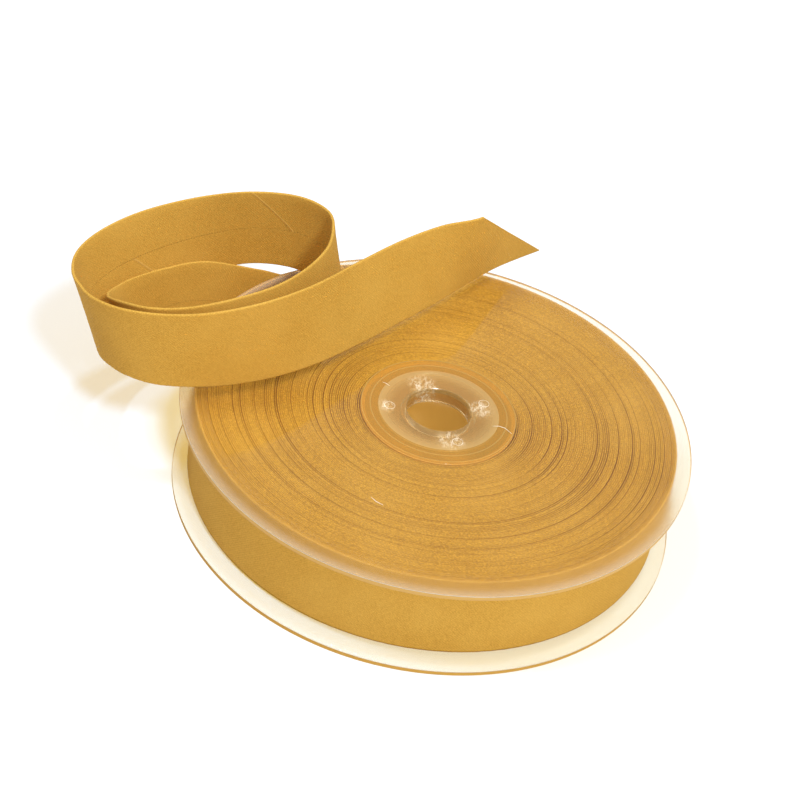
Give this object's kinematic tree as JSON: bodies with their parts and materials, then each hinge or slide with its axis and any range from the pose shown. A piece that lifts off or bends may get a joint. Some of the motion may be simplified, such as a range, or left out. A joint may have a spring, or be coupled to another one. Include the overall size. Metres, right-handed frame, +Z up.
{
  "type": "roll of bias binding on a clear plastic spool",
  "caption": "Roll of folded golden cotton bias binding wound on a clear plastic spool, its loose end looped above the upper flange.",
  "frame": {"origin": "middle of the whole object's box, at the underside of the lower flange", "axes": "+Z up along the spool's axis, +X to the right in the picture, +Y away from the camera; the spool's axis stands at x = 13.52 mm, y = -7.10 mm"},
  "size_m": [0.139, 0.1262, 0.044],
  "materials": {
    "spool_flange_lower": "clear polystyrene, glossy",
    "spool_flange_upper": "clear polystyrene, glossy",
    "spool_barrel": "clear polystyrene, slightly frosted",
    "wound_binding": "plain woven cotton, matt, golden tan",
    "loose_end": "plain woven cotton, matt, golden tan"
  },
  "bodies": {
    "root": {"spool_flange_lower": "spool_flange_lower", "spool_flange_upper": "spool_flange_upper", "spool_barrel": "spool_barrel", "wound_binding": "wound_binding", "loose_end": "loose_end"}
  },
  "joints": []
}
